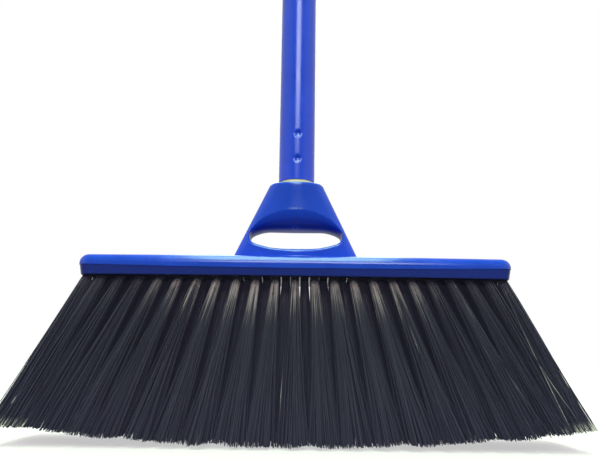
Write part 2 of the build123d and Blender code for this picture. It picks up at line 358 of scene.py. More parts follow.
def stack_rings(rings, name, closed=False):
    """Rings bridged in turn, with the ends filled or the last ring joined to the first."""
    bm = bmesh.new()
    edges = [add_ring(bm, points) for points in rings]
    pairs = list(zip(edges, edges[1:]))
    if closed:
        pairs.append((edges[-1], edges[0]))
    for low, high in pairs:
        bmesh.ops.bridge_loops(bm, edges=low + high)
    if not closed:
        bmesh.ops.holes_fill(bm, edges=edges[0] + edges[-1])
    return bm if name is None else to_mesh(bm, name)


def turns(count):
    """Angles of evenly spaced points round a circle."""
    return [2 * math.pi * k / count for k in range(count)]


def circle_points(radius, z, count):
    """Points on a level circle round the handle's axis, starting at +X."""
    return [Vector((radius * math.cos(a), radius * math.sin(a), z)) for a in turns(count)]


def round_edges(bm, edges, radius, segments):
    """Round those of some edges that are still there."""
    left = [edge for edge in edges if edge.is_valid]
    bmesh.ops.bevel(
        bm, geom=left, offset=radius, offset_type="OFFSET", affect="EDGES",
        segments=segments, profile=0.5, material=-1, clamp_overlap=True,
    )


# Shapes of the head


def neck_sizes(z):
    """Half the width and depth of the neck at a height, and the crown of its faces."""
    head = settings()[0]
    base_z = block_top()
    taper_start, taper_run = 0.35, 0.55
    up = (z - base_z) / (HEAD_HIGH.z - base_z)
    half_x = (head.neck_base_x + up * (head.neck_top_x - head.neck_base_x)) / 2
    rise = unit((up - taper_start) / taper_run)
    ease = rise**2 * (3 - 2 * rise)
    half_y = (head.neck_base_y + ease * (head.neck_top_y - head.neck_base_y)) / 2
    crown = head.neck_base_crown + up * (head.neck_crown - head.neck_base_crown)
    return half_x, half_y, crown


def face_fall(x, half_x, crown):
    """How far a face of the neck has fallen back at a distance from the ridge up its middle."""
    head = settings()[0]
    from_ridge = math.hypot(x, head.neck_ridge) - head.neck_ridge
    return head.neck_lean * from_ridge + crown * (x / half_x) ** 2


def neck_face(x, z):
    """How far in front of the middle the neck's face stands at a place on it."""
    half_x, half_y, crown = neck_sizes(z)
    return half_y - face_fall(x, half_x, crown)


def rounded_outline(half_x, half_y, corner, crown, z, side_steps=20, corner_steps=8):
    """A level rounded rectangle whose long sides fall back from a ridge, starting at +X."""
    points = []
    for sign_x, sign_y, start in ((1, 1, 0), (-1, 1, 90), (-1, -1, 180), (1, -1, 270)):
        centre = Vector((sign_x * (half_x - corner), sign_y * (half_y - corner)))
        for step in range(corner_steps + 1):
            turn = math.radians(start + 90 * step / corner_steps)
            points.append(centre + corner * Vector((math.cos(turn), math.sin(turn))))
    filled = []
    for index, point in enumerate(points):
        filled.append(point)
        if index % (corner_steps + 1) == corner_steps:
            following = points[(index + 1) % len(points)]
            filled += [point.lerp(following, step / side_steps) for step in range(1, side_steps)]
    outline = []
    for point in filled:
        drop = face_fall(point.x, half_x, crown) * abs(point.y) / half_y
        outline.append(Vector((point.x, point.y - math.copysign(drop, point.y), z)))
    return outline


def aligned_circle(ring, radius, z):
    """A level circle whose points lie in the same directions as a ring's points."""
    return [Vector((p.x, p.y, 0)).normalized() * radius + Vector((0, 0, z)) for p in ring]


def neck_rings():
    """The neck from inside the block up to its rim, and down the socket to its floor."""
    head = settings()[0]
    base_z, top_z = block_top(), HEAD_HIGH.z
    sunk, overlap, mouth = 1.5 * MM, 0.02 * MM, 0.8 * MM
    foot_steps, rise_steps, rim_steps, quarter = 6, 22, 6, math.radians(90)
    spots = [(base_z - sunk, head.foot_round)]
    for turn in [0.0] + spaced(0.0, quarter, foot_steps):
        lift, grow = 1 - math.cos(turn), 1 - math.sin(turn)
        spots.append((base_z - overlap + head.foot_round * lift, head.foot_round * grow))
    low_z, high_z = spots[-1][0], top_z - head.rim_round
    spots += [(z, 0.0) for z in spaced(low_z, high_z, rise_steps)]
    for turn in spaced(0.0, quarter, rim_steps):
        lift, shrink = math.sin(turn), 1 - math.cos(turn)
        spots.append((high_z + head.rim_round * lift, -head.rim_round * shrink))
    rings = []
    for z, grow in spots:
        half_x, half_y, crown = neck_sizes(z)
        corner = head.neck_corner + grow
        rings.append(rounded_outline(half_x + grow, half_y + grow, corner, crown, z))
    socket = head.socket_radius
    hollow = ((socket + mouth, RING_DRAFT), (socket, mouth), (socket, head.socket_depth))
    for radius, depth in hollow:
        rings.append(aligned_circle(rings[-1], radius, top_z - depth))
    return rings


def finger_outline(count=120):
    """The finger hole from the front, along an arch, an end, a floor and an end.

    Each point is its x and z, and the x and z of the way out from the hole.
    """
    head = settings()[0]
    corner_z = finger_floor_z() + head.finger_corner_height
    corner_x = head.finger_width / 2 - head.finger_corner
    corner = head.finger_corner
    arcs = []
    for reach, up in (
        (head.finger_height - head.finger_corner_height, 1),
        (head.finger_corner_height, -1),
    ):
        bow = (reach**2 + corner_x**2 - corner**2) / (2 * (reach - corner))
        arcs.append((bow, up * (reach - bow), math.asin(corner_x / (bow - corner))))
    (top_bow, top_centre, top_angle), (low_bow, low_centre, low_angle) = arcs
    up, down, up_again = math.pi / 2, 3 * math.pi / 2, 5 * math.pi / 2
    long_steps, end_steps = count * 3 // 8, count // 8
    points = []
    for x, z, radius, start, end, steps in (
        (0.0, top_centre, top_bow, up - top_angle, up + top_angle, long_steps),
        (-corner_x, 0.0, corner, up + top_angle, down - low_angle, end_steps),
        (0.0, low_centre, low_bow, down - low_angle, down + low_angle, long_steps),
        (corner_x, 0.0, corner, down + low_angle, up_again - top_angle, end_steps),
    ):
        for step in range(steps):
            turn = start + (end - start) * step / steps
            out_x, out_z = math.cos(turn), math.sin(turn)
            points.append((x + radius * out_x, corner_z + z + radius * out_z, out_x, out_z))
    return points


def finger_point(spot, depth, lip):
    """A point of the finger hole's wall, under the grip and over the sill.

    Depth goes from 0 at the middle to 1 at the lip, and is negative in the front half. In a lip
    it gives only the side, and lip is how far behind the face the point is.
    """
    head = settings()[0]
    x, z, out_x, out_z = spot
    floor_z = finger_floor_z()
    face_reach, grip_power, grip_edge = 30 * MM, 2.6, 0.993
    ends_start, ends_run = 10 * MM, 12 * MM
    grip_blend, ends_blend, sill_blend = 6.0 * MM, 4.0 * MM, 1.0 * MM
    face = neck_face(min(abs(x), face_reach), z)
    y = abs(depth) * (face - head.lip_round) if lip is None else face - lip
    inside = min(y * neck_face(0, z) / face / head.grip_radius, grip_edge)
    grip_z = floor_z + head.finger_height - head.grip_drop + head.grip_radius
    grip_z -= head.grip_radius * (1 - inside**grip_power) ** (1 / grip_power)
    sill_z = floor_z + head.sill_rise - head.sill_radius + math.sqrt(head.sill_radius**2 - y**2)
    near_ends = unit((abs(x) - ends_start) / ends_run)
    z = soft_min(z, grip_z, grip_blend + ends_blend * near_ends)
    z = -soft_min(-z, -sill_z, sill_blend)
    if lip is not None:
        inner = max(0.0, min(head.lip_round, head.lip_round - lip))
        flare = head.lip_round - math.sqrt(head.lip_round**2 - inner**2)
        x += out_x * flare
        z += out_z * flare
    return Vector((x, math.copysign(y, depth), z))


def finger_cutter():
    """The closed tool that cuts the finger hole, with rounded lips at both faces."""
    lip_round = settings()[0].lip_round
    lips = [lip_round * part for part in (1.0, 0.75, 0.53, 0.34, 0.18, 0.075, 0.0125)]
    lips += [-0.5 * MM, -6.0 * MM]
    inner = [0.0, 0.12, 0.24, 0.36, 0.48, 0.6, 0.72, 0.84, 0.93]
    half = [(part, None) for part in inner] + [(1.0, lip) for lip in lips]
    places = [(-part, lip) for part, lip in reversed(half[1:])] + half
    spots = finger_outline()
    rings = [[finger_point(spot, *place) for spot in spots] for place in places]
    return stack_rings(rings, "finger_cutter")


def bow_sides(bm, half_length, part):
    """Cut the block across its length and draw its ends in, so that the long sides bow out."""
    cuts = 24
    for cut in range(1, cuts):
        everything = list(bm.verts) + list(bm.edges) + list(bm.faces)
        middle = (half_length * (2 * cut / cuts - 1), 0, 0)
        bmesh.ops.bisect_plane(
            bm, geom=everything, dist=2 * MERGE, plane_co=middle, plane_no=(1, 0, 0)
        )
    for vert in bm.verts:
        vert.co.y *= 1 - part * (vert.co.x / half_length) ** 2


def block_mesh():
    """The block: a cube with rounded corners and shoulder, and a skirt drawn down from under it."""
    head = settings()[0]
    foot_edge, step_edge, near_step = 1.2 * MM, 0.2 * MM, 0.4 * MM
    corner_steps, shoulder_steps, foot_steps, step_steps = 12, 10, 4, 2
    step_z = HEAD_LOW.z + head.skirt
    sizes = (HEAD_HIGH.x - HEAD_LOW.x, HEAD_HIGH.y - HEAD_LOW.y, head.shoulder)
    bm = bmesh.new()
    bmesh.ops.create_cube(bm, size=1.0)
    bmesh.ops.scale(bm, vec=sizes, verts=bm.verts)
    bmesh.ops.translate(bm, vec=(0, 0, step_z + head.shoulder / 2), verts=bm.verts)
    upright = [e for e in bm.edges if abs(e.verts[0].co.z - e.verts[1].co.z) > head.shoulder / 2]
    round_edges(bm, upright, head.corner, corner_steps)
    top = max(bm.faces, key=lambda face: face.calc_center_median().z)
    round_edges(bm, list(top.edges), head.shoulder_round, shoulder_steps)
    under = min(bm.faces, key=lambda face: face.calc_center_median().z)
    around_step = list(under.edges)
    bmesh.ops.inset_region(bm, faces=[under], thickness=head.skirt_inset, use_even_offset=True)
    drawn = bmesh.ops.extrude_face_region(bm, geom=[under])["geom"]
    bmesh.ops.delete(bm, geom=[under], context="FACES_ONLY")
    foot = [item for item in drawn if isinstance(item, bmesh.types.BMVert)]
    bmesh.ops.translate(bm, vec=(0, 0, -head.skirt), verts=foot)
    draw_in = [1 - 2 * head.skirt_draft / size for size in sizes[:2]] + [1.0]
    bmesh.ops.scale(bm, vec=draw_in, verts=foot)
    around_foot = [item for item in drawn if isinstance(item, bmesh.types.BMEdge)]
    round_edges(bm, around_foot, foot_edge, foot_steps)
    round_edges(bm, around_step, step_edge, step_steps)
    bow_sides(bm, sizes[0] / 2, head.bow / (sizes[1] / 2))
    for vert in bm.verts:
        if abs(vert.co.z - step_z) < near_step:
            vert.co.z += head.step_dip * ((vert.co.x / HEAD_HIGH.x) ** 2 - STEP_LEVEL)
    return to_mesh(bm, "block")


# Tufts


def tuft_columns():
    """The mouths of the tuft holes by column."""
    tufts = settings()[1]
    outer_x, outer_y = outermost_tuft()
    pitch = outer_x / ((tufts.in_row - 1) / 2 - 1 + tufts.end_gap)
    columns = [[] for _ in range(tufts.in_row)]
    for row in range(tufts.rows):
        y = outer_y * (2 * row / (tufts.rows - 1) - 1)
        count = tufts.in_row - row % 2
        for place in range(count):
            x = (place - (count - 1) / 2) * pitch
            columns[place].append((max(-outer_x, min(outer_x, x)), y))
    return columns


def tuft_matrix(x, y):
    """The frame of a tuft: origin at the mouth of its hole, Z out along the bristles."""
    tufts = settings()[1]
    outer_x, outer_y = outermost_tuft()
    front = tufts.end_lean * math.sin(math.pi / 2 * x / outer_x)
    side = tufts.row_lean * y / outer_y
    along = Vector((math.tan(front), math.tan(side), -1)).normalized()
    across = (Vector((1, 0, 0)) - along * along.x).normalized()
    turned = Matrix((across, along.cross(across), along)).transposed().to_4x4()
    return Matrix.Translation((x, y, HEAD_LOW.z)) @ turned


def hole_cutters():
    """One closed tool with a round pin for every tuft hole."""
    tufts = settings()[1]
    bm = bmesh.new()
    radius = tufts.hole_radius
    run = 2 * radius
    middle = Matrix.Translation((0, 0, (run - tufts.hole_depth) / 2))
    for x, y in (place for column in tuft_columns() for place in column):
        bmesh.ops.create_cone(
            bm, cap_ends=True, segments=14, radius1=radius, radius2=radius,
            depth=tufts.hole_depth + run, matrix=tuft_matrix(x, y) @ middle,
        )
    return to_mesh(bm, "hole_cutters")


def tuft_length(x, y):
    """The free length of a tuft, trimmed level in the middle and a little higher at the ends."""
    tufts = settings()[1]
    drop = tufts.bristle - tufts.end_rise * (x / outermost_tuft()[0]) ** 2
    return drop / -tuft_matrix(x, y).col[2].z


def trim_height(x):
    """Height of the trimmed tips above the floor at a place along the broom."""
    tufts = settings()[1]
    lowest, uneven, short_wave, long_wave = 0.2 * MM, 1.5 * MM, 5.2 * MM, 17 * MM
    end_x = outermost_tuft()[0] + (tufts.bristle - tufts.end_rise) * math.tan(tufts.end_lean)
    wave = 0.5 * (1 + math.sin(x / short_wave) * math.sin(x / long_wave + 1.0))
    return lowest + tufts.end_rise * (x / end_x) ** 2 + uneven * wave


def filament_points(rng, matrix, full, stray):
    """The centre line of one filament: packed in the hole, spreading towards a level trimmed tip.

    It comes with how far to the side of its tuft it stands, from 0 to 1.
    """
    tufts = settings()[1]
    flare_run, spread_power, held_in, drawn_in = 0.03, 1.4, 0.85, 2.0 * MM
    fill, flare_middle, flare_end, tip_jitter = 0.96, 0.4, 1.9, 0.15
    wander_size, bow_size = (2.6, 1.6) if stray else (1.2, 0.3)
    turn = rng.uniform(0, 2 * math.pi)
    off_axis = math.sqrt(rng.random())
    place = matrix.translation.x
    # From 0 to 1 over the outer fifth of the block
    near_end = unit(abs(place) / outermost_tuft()[0] * 5 - 4)
    direction = Vector((math.cos(turn), math.sin(turn), 0))
    packed = (tufts.hole_radius - tufts.thickness) * fill
    wander = Vector((rng.gauss(0, 1), rng.gauss(0, 1), 0)) * wander_size * MM
    bow = Vector((rng.gauss(0, 1), rng.gauss(0, 1), 0)) * bow_size * MM
    flare = (flare_middle + flare_end * near_end) * MM
    points = []
    for step in FILAMENT_STEPS:
        clear = max(step, 0.0)
        out = flare * (1 - math.exp(-clear / flare_run))
        out += (tufts.spread - packed - flare) * clear**spread_power
        spread = direction * off_axis * out
        if spread.x * place > 0:
            spread.x *= 1 - held_in * near_end
        spread.x -= math.copysign(drawn_in * near_end * clear, place)
        local = direction * off_axis * packed + spread
        local += wander * clear**2 + bow * math.sin(math.pi * clear)
        local.z = full * step
        points.append(matrix @ local)
    last, before = points[-1], points[-2]
    goal = trim_height(last.x) + abs(rng.gauss(0, tip_jitter)) * MM
    points[-1] = before.lerp(last, (before.z - goal) / (before.z - last.z))
    return points, (off_axis * direction.x) ** 2


def set_along(mesh, name, filaments):
    """Give a mesh of filaments an attribute from the values along each one.

    Blender puts the caps of a filament's two ends first.
    """
    around = len(mesh.vertices) // (len(filaments) * (len(filaments[0]) + 2))
    rings = [value for along in filaments for value in (along[-1], along[0])]
    rings += [value for along in filaments for value in along]
    attribute = mesh.attributes.new(name, "FLOAT", "POINT")
    attribute.data.foreach_set("value", [value for value in rings for _ in range(around)])


def column_mesh(column, rng, name):
    """All the filaments of one column of tufts, drawn as thin splines and made a mesh."""
    tufts = settings()[1]
    count = len(FILAMENT_STEPS)
    fray_start, fray_rate, fray_power = 0.83, 1.8, 0.6
    stray_fray, tip_radius = (0.62, 0.88), 0.9
    curve = bpy.data.curves.new(name, "CURVE")
    curve.dimensions = "3D"
    curve.bevel_depth = tufts.thickness
    curve.bevel_resolution = 0
    curve.use_fill_caps = True
    tones, frays, sides = [], [], []
    for x, y in column:
        matrix, full = tuft_matrix(x, y), tuft_length(x, y)
        fray_share = fray_rate * max(0.0, abs(x) / outermost_tuft()[0] - fray_start) ** fray_power
        for _ in range(tufts.filaments):
            stray = rng.random() < tufts.strays
            points, side = filament_points(rng, matrix, full, stray)
            spline = curve.splines.new("POLY")
            spline.points.add(count - 1)
            spline.points.foreach_set("co", [v for p in points for v in (p.x, p.y, p.z, 1.0)])
            spline.points.foreach_set("radius", [1.0] * (count - 1) + [tip_radius])
            sides.append([side] * count)
            tones.append([rng.random()] * count)
            split_tip = rng.random() < fray_share
            along = [0.0] * (count - 1) + [1.0 if split_tip else 0.0]
            frays.append([rng.uniform(*stray_fray) for _ in range(count)] if stray else along)
    mesh = applied(add_object(name + "_lines", curve))
    set_along(mesh, "tone", tones)
    set_along(mesh, "side", sides)
    set_along(mesh, "fray", frays)
    return mesh


# Shapes of the handle


def film_mesh():
    """The film: a thin tube with rounded ends, pressed in at the dents."""
    handle = settings()[2]
    low, high = FILM_LOW.z, FILM_HIGH.z
    count, fine_steps, long_steps = 120, 56, 12
    edge, edge_ring, beside = handle.film / 2, 0.12 * MM, 6 * MM
    dents = [low + handle.dent_first, low + handle.dent_first + handle.dent_spacing]
    fine_low, fine_high = dents[0] - beside, dents[1] + beside
    heights = [low + edge, low + edge + edge_ring, fine_low]
    heights += spaced(fine_low, fine_high, fine_steps)
    heights += spaced(fine_high, high - edge - edge_ring, long_steps) + [high - edge]
    outer = [(handle.radius, z) for z in heights]
    inner = [(handle.radius - handle.film, z) for z in reversed(heights)]
    middle = handle.radius - edge
    profile = outer + [(middle, high)] + inner + [(middle, low)]
    bm = stack_rings([circle_points(radius, z, count) for radius, z in profile], None, closed=True)
    front = handle.dent_turn - math.pi / 2
    for vert in bm.verts:
        press_dents(vert, dents, front)
    return to_mesh(bm, "handle_film")


def press_dents(vert, dents, front):
    """Move a point of the film inwards where a dent presses it."""
    handle = settings()[2]
    around = math.atan2(vert.co.y, vert.co.x) - front
    around = (around + math.pi) % (2 * math.pi) - math.pi
    for z in dents:
        away = math.hypot(around * handle.radius, vert.co.z - z) / handle.dent_radius
        if away < 1:
            depth = handle.dent_depth * (1 + math.cos(math.pi * away)) / 2
            vert.co -= Vector((vert.co.x, vert.co.y, 0)).normalized() * depth


def tip_mesh():
    """The threaded tip: a cored shank in the tube and a stub with a raised screw thread."""
    handle = settings()[2]
    count = 72
    low, high, seat = TIP_LOW.z, TIP_HIGH.z, FILM_LOW.z - 0.05 * MM
    under = HEAD_HIGH.z + handle.collar_gap
    core, core_floor = 6.25 * MM, 4.0 * MM
    stub_edge, collar_edge, shank_edge = 1.0 * MM, 0.3 * MM, 1.2 * MM
    thread_low, thread_high = low + 1.4 * MM, FILM_LOW.z - 5.2 * MM
    profile = [
        (handle.thread_root - stub_edge, low),
        (handle.thread_root, low + stub_edge),
        (handle.thread_root, under - RING_DRAFT),
        (handle.collar - collar_edge, under),
        (handle.collar, under + collar_edge),
        (handle.collar, seat - RING_DRAFT),
        (PLUG_RADIUS, seat),
        (PLUG_RADIUS, high - shank_edge),
        (PLUG_RADIUS - shank_edge, high),
        (core, high - RING_DRAFT),
        (core, low + core_floor),
    ]
    tip = stack_rings([circle_points(radius, z, count) for radius, z in profile], "tip_core")
    return carve(tip, "threaded_tip", [("UNION", thread_mesh(thread_low, thread_high))])


def thread_mesh(low, high):
    """A ridge swept up a helix and sunk a little into the core."""
    handle = settings()[2]
    turn_count = (high - low) / handle.thread_lead
    least_steps, turn_steps = 24, 48
    steps = max(least_steps, round(turn_count * turn_steps))
    root, crest, sunk = handle.thread_root, handle.thread_crest, 0.5 * MM
    sunk_half, root_half, crest_half = 1.5 * MM, 1.25 * MM, 0.55 * MM
    lower = [(root - sunk, sunk_half), (root, root_half), (crest, crest_half)]
    profile = [Vector((radius, 0, low - half)) for radius, half in lower]
    profile += [Vector((radius, 0, low + half)) for radius, half in reversed(lower)]
    bm = bmesh.new()
    face = bmesh.ops.edgeloop_fill(bm, edges=add_ring(bm, profile))["faces"][0]
    verts = list(face.verts)
    bmesh.ops.translate(bm, vec=(0, 0, sunk_half), verts=verts)
    bmesh.ops.spin(
        bm, geom=[face] + list(face.edges) + verts, cent=(0, 0, 0), axis=(0, 0, 1),
        dvec=(0, 0, (high - low) / steps), angle=turn_count * 2 * math.pi,
        steps=steps, use_merge=False, use_duplicate=False,
    )
    return to_mesh(bm, "thread")


def cap_mesh():
    """The hanging cap: a hollow plug, a collar and a tongue with an eye."""
    count = 120
    seat = FILM_HIGH.z + 0.1 * MM
    bar = (CAP_HIGH.x - CAP_LOW.x) / 2
    eye, tongue = 9.0 * MM, 4.5 * MM
    eye_z = CAP_HIGH.z - eye
    low = seat + 0.5 * MM
    bore, bore_floor = PLUG_RADIUS - 2.5 * MM, seat - 2 * MM
    plug_edge, plug_lead, collar_edge = 0.6 * MM, 0.8 * MM, 0.4 * MM
    profile = [
        (bore, bore_floor),
        (bore, CAP_LOW.z + RING_DRAFT),
        (PLUG_RADIUS - plug_edge, CAP_LOW.z),
        (PLUG_RADIUS, CAP_LOW.z + plug_lead),
        (PLUG_RADIUS, seat - RING_DRAFT),
        (bar - collar_edge, seat),
        (bar, low),
    ]
    rise_steps, dome_steps, dome_end = 52, 26, math.radians(86)
    heights = spaced(low, eye_z, rise_steps)
    heights += [eye_z + eye * math.sin(turn) for turn in spaced(0.0, dome_end, dome_steps)]
    rings = [circle_points(radius, z, count) for radius, z in profile]
    rings += [cap_ring(z, seat, eye_z, bar, eye, tongue, count) for z in heights]
    cap = stack_rings(rings, "cap")
    return carve(cap, "hanging_cap", [("DIFFERENCE", eye_cutter(eye_z, tongue))])


def cap_ring(z, seat, eye_z, bar, eye, tongue, count):
    """A level section of the cap: the bar cut to the eye's outline and scooped to its tongue."""
    collar, scoop, round_off, narrowest = 9.0 * MM, 7.0 * MM, 1.4 * MM, 0.6 * MM
    nearly_none = 1e-4
    rise = z - seat - collar
    if z > eye_z:
        half_x = math.sqrt(max(eye**2 - (z - eye_z) ** 2, narrowest**2))
    else:
        half_x = bar + (eye - bar) * max(0.0, rise) / (eye_z - seat - collar)
    half_y = tongue if rise > 0 else bar
    if 0 < rise < scoop:
        half_y = tongue + scoop - math.sqrt(scoop**2 - (scoop - rise) ** 2)
    points = []
    for turn in turns(count):
        reach = bar
        for half, part in ((half_x, abs(math.cos(turn))), (half_y, abs(math.sin(turn)))):
            if part > nearly_none:
                reach = soft_min(reach, half / part, round_off)
        points.append(Vector((reach * math.cos(turn), reach * math.sin(turn), z)))
    return points


def eye_cutter(eye_z, tongue):
    """A round pin across the tongue, flared at both ends so that the hole's edges are rounded."""
    radius, lip, past, lip_steps, count = 4.0 * MM, 0.8 * MM, 3 * MM, 5, 56
    half = [(radius, 0.0)]
    for inner in [0.0] + spaced(0.0, lip, lip_steps):
        half.append((radius + lip - math.sqrt(lip**2 - inner**2), tongue - lip + inner))
    half.append((radius + lip + past, tongue + past))
    both = [(r, -y) for r, y in reversed(half[1:])] + half
    rings = []
    for r, y in both:
        rings.append([Vector((r * math.cos(a), y, eye_z + r * math.sin(a))) for a in turns(count)])
    return stack_rings(rings, "eye_cutter")


# Nodes


def feed(node, inputs):
    """Set inputs of a node by name or number. A socket is linked, and anything else is a value."""
    for key, value in inputs.items():
        if isinstance(value, bpy.types.NodeSocket):
            node.id_data.links.new(value, node.inputs[key])
        else:
            node.inputs[key].default_value = value


def add_node(tree, kind, *inputs, **values):
    """A shader node with its first inputs in order, and properties and other inputs by name."""
    node = tree.nodes.new("ShaderNode" + kind)
    for key in [key for key in values if hasattr(node, key)]:
        setattr(node, key, values.pop(key))
    feed(node, dict(enumerate(inputs)) | values)
    return node


def follow(source, kind, *inputs, **values):
    """A node in the tree of a socket, which is its first input."""
    return add_node(source.id_data, kind, source, *inputs, **values)


def empty_tree(owner):
    """The cleared node tree of a material or a world."""
    owner.use_nodes = True
    owner.node_tree.nodes.clear()
    return owner.node_tree


def new_material(name):
    """A material, its shader and its object coordinates."""
    material = bpy.data.materials.new(name)
    tree = empty_tree(material)
    shader = add_node(tree, "BsdfPrincipled")
    follow(shader.outputs["BSDF"], "OutputMaterial")
    return material, shader, add_node(tree, "TexCoord").outputs["Object"]


def axes(vector):
    """The x, y and z of a vector."""
    return follow(vector, "SeparateXYZ").outputs[:]


def calculated(operation, source, *inputs):
    """The result of one operation."""
    return follow(source, "Math", *inputs, operation=operation).outputs["Value"]


def joined(operation, *sources):
    """Sockets joined in turn by one operation."""
    result = sources[0]
    for source in sources[1:]:
        result = calculated(operation, result, source)
    return result


def off_centre(source, centre=0.0):
    """How far a source is from a value."""
    return calculated("ABSOLUTE", calculated("SUBTRACT", source, centre))


def ranged(source, start, end, low=0.0, high=1.0, kind="LINEAR"):
    """A value that goes from low to high while a source goes from start to end."""
    fade = follow(source, "MapRange", start, end, low, high, interpolation_type=kind)
    return fade.outputs["Result"]


def faded(source, start, end, low=0.0, high=1.0):
    """The same with a smooth start and end."""
    return ranged(source, start, end, low, high, "SMOOTHSTEP")


def mask(*fades):
    """Smooth fades multiplied together. Each is what faded takes."""
    return joined("MULTIPLY", *(faded(*fade) for fade in fades))


def noise(place, scale, detail=2.0, rough=0.5):
    """A soft random value from 0 to 1."""
    made = follow(place, "TexNoise", Scale=scale, Detail=detail, Roughness=rough)
    return made.outputs["Fac"]


def mixed(factor, low, high):
    """A colour that goes from low to high with a factor. Each is a colour or a socket."""
    low, high = (
        tone if isinstance(tone, bpy.types.NodeSocket) else (*tone, 1.0) for tone in (low, high)
    )
    return follow(factor, "Mix", data_type="RGBA", A=low, B=high).outputs["Result"]


def tinted(tone, factor):
    """A colour made darker or lighter."""
    return [min(1.0, c * factor) for c in tone]


def new_group(name, inputs, outputs):
    """An empty node group, its inputs as seen from inside and its output node."""
    group = bpy.data.node_groups.new(name, "ShaderNodeTree")
    add_socket = group.interface.new_socket
    add_socket("Vector", in_out="INPUT", socket_type="NodeSocketVector")
    for socket, default in inputs:
        made = add_socket(socket, in_out="INPUT", socket_type="NodeSocketFloat")
        made.default_value = default
    for socket in outputs:
        add_socket(socket, in_out="OUTPUT", socket_type="NodeSocketFloat")
    return group, group.nodes.new("NodeGroupInput").outputs, group.nodes.new("NodeGroupOutput")


def moulded_grain():
    """Fine unevenness of moulded or coated plastic: a height, and a value that varies its gloss."""
    group, start, end = new_group(GRAIN, [("Fine", 900.0), ("Broad", 60.0)], ["Height", "Gloss"])
    fine = noise(start["Vector"], start["Fine"], detail=3.0, rough=0.6)
    broad = noise(start["Vector"], start["Broad"], detail=4.0, rough=0.55)
    height = calculated("MULTIPLY_ADD", fine, 0.25, broad)
    feed(end, {"Height": height, "Gloss": ranged(broad, 0.3, 0.7)})
    return group


def handling_marks():
    """Thin scuffs and specks from use: a mask that is 1 on a mark."""
    group, start, end = new_group(MARKS, [("Scale", 40.0), ("Amount", 0.5)], ["Mask"])
    drawn_out, slant = (1.0, 1.0, 9.0), (0.4, 0.9, 0.2)
    stretch = follow(start["Vector"], "Mapping", Scale=drawn_out, Rotation=slant)
    streak = noise(stretch.outputs["Vector"], start["Scale"])
    speck_scale = calculated("MULTIPLY", start["Scale"], 5.0)
    speck = follow(start["Vector"], "TexVoronoi", Scale=speck_scale, feature="F1")
    specks = ranged(speck.outputs["Distance"], 0.10, 0.05)
    marks = joined("MAXIMUM", ranged(streak, 0.73, 0.80), specks)
    feed(end, {"Mask": joined("MULTIPLY", marks, start["Amount"])})
    return group


def place_group(place, label, maker, *inputs):
    """The outputs of a shared node group, which is made when it is first needed."""
    group = bpy.data.node_groups.get(label) or maker()
    return follow(place, "Group", *inputs, node_tree=group).outputs


# Materials


def plastic(name, base, rough, fine, bump, marks, mark_scale=40.0, ior=1.49, painted_glow=0.0, painted_light_and_marks=False):
    """Moulded or coated plastic with slight changes of colour and gloss, grain and handling marks.

    Fine is the scale of the grain, bump its strength, and marks how strong the marks are. The
    head also has painted shade on its skirt and in its finger hole, a painted glint on the arch,
    a moulding mark and a textured top. A painted glow lifts a surface out of its shade.
    """
    scuff_level, scuff_share, hole_rough = 0.8, 0.35, 0.34
    material, shader, place = new_material(name)
    grain = place_group(place, GRAIN, moulded_grain, fine)
    wear = place_group(place, MARKS, handling_marks, mark_scale, marks)
    light = [min(1.0, c * 1.08 + 0.004) for c in base]
    body = mixed(grain["Gloss"], tinted(base, 0.93), light)
    dull = ranged(grain["Gloss"], 0.0, 1.0, rough - 0.04, rough + 0.05)
    if painted_light_and_marks:
        # Painted shade on the skirt, foot and finger hole, a painted glint and a moulding mark
        body, inside = hole_shade_glint_and_mark(place, shade_painted(place, body))
        hole = faded(inside, 0.0, 1.0, 0.0, hole_rough)
        dull = joined("MAXIMUM", dull, matte_top(place), hole)
    scuffed = [c + (scuff_level - c) * scuff_share for c in base]
    surface = mixed(wear["Mask"], body, scuffed)
    relief = add_node(
        place.id_data, "Bump", Strength=bump, Distance=0.4 * MM, Height=grain["Height"]
    )
    feed(shader, {"Base Color": surface, "Roughness": dull, "IOR": ior})
    feed(shader, {"Normal": relief.outputs["Normal"]})
    # A painted glow that lifts the surface where it is in shade
    if painted_glow:
        feed(shader, {"Emission Color": surface, "Emission Strength": painted_glow})
    return material


def matte_top(place):
    """The roughness of the block's flat top, which is textured, and 0 elsewhere."""
    z, top_z = axes(place)[2], block_top()
    return mask(
        (z, top_z - 0.15 * MM, top_z - 0.05 * MM, 0.0, 0.6),
        (z, top_z + 0.25 * MM, top_z + 0.15 * MM),
    )


def shade_painted(place, body):
    """Head colour with painted shade on the skirt below the step, nearly black at its foot."""
    head = settings()[0]
    # Painted shade at the foot of the skirt, under the block
    painted_foot_shade = (0.004, 0.006, 0.020)
    step_z, dip = HEAD_LOW.z + head.skirt, head.step_dip
    x, _, z = axes(place)
    along = joined("MULTIPLY", x, x)
    sag = calculated("MULTIPLY_ADD", along, -dip / HEAD_HIGH.x**2, STEP_LEVEL * dip)
    below = faded(joined("ADD", z, sag), step_z + 0.5 * MM, step_z - 0.4 * MM)
    foot = faded(z, HEAD_LOW.z + 1.0 * MM, HEAD_LOW.z + 0.1 * MM)
    return mixed(foot, mixed(below, body, head.skirt_shade_tone), painted_foot_shade)


